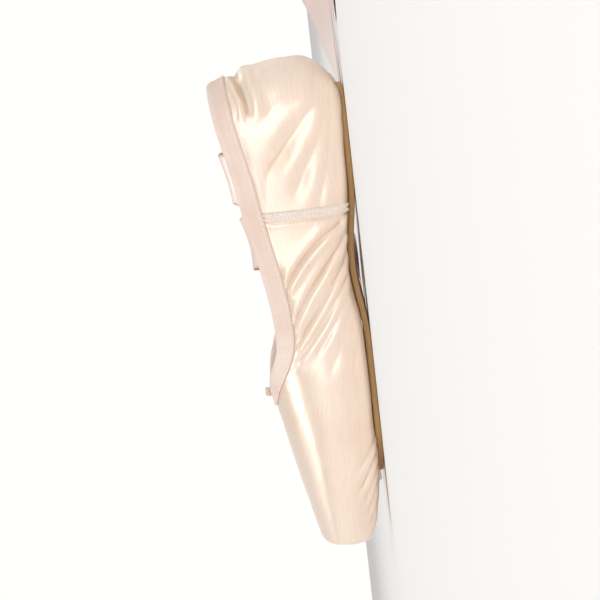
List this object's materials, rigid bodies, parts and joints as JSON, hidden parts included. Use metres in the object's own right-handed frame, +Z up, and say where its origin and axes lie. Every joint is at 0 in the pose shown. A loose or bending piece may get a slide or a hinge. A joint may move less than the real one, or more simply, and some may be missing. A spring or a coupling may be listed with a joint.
{
  "type": "pointe shoe",
  "caption": "Satin ballet pointe shoe with a flat toe platform, hardened toe box, U-shaped throat, bound collar, leather sole and two loose ankle ribbons.",
  "frame": {"origin": "middle of the shoe's length and width, on the floor under the sole, measured without the ribbons", "axes": "+X towards the toe, +Y towards the shoe's left side, +Z up"},
  "size_m": [0.3149, 0.2244, 0.0627],
  "materials": {
    "satin": "glossy peach satin",
    "binding": "matte cotton tape",
    "ribbon": "soft satin ribbon",
    "sole_leather": "matte tan leather",
    "sock": "plain cotton"
  },
  "bodies": {
    "root": {"upper": "satin", "outsole": "sole_leather", "insole": "sock", "collar_binding": "binding", "drawstring_knot": "binding", "ribbon_left": "ribbon", "ribbon_right": "ribbon"}
  },
  "joints": []
}
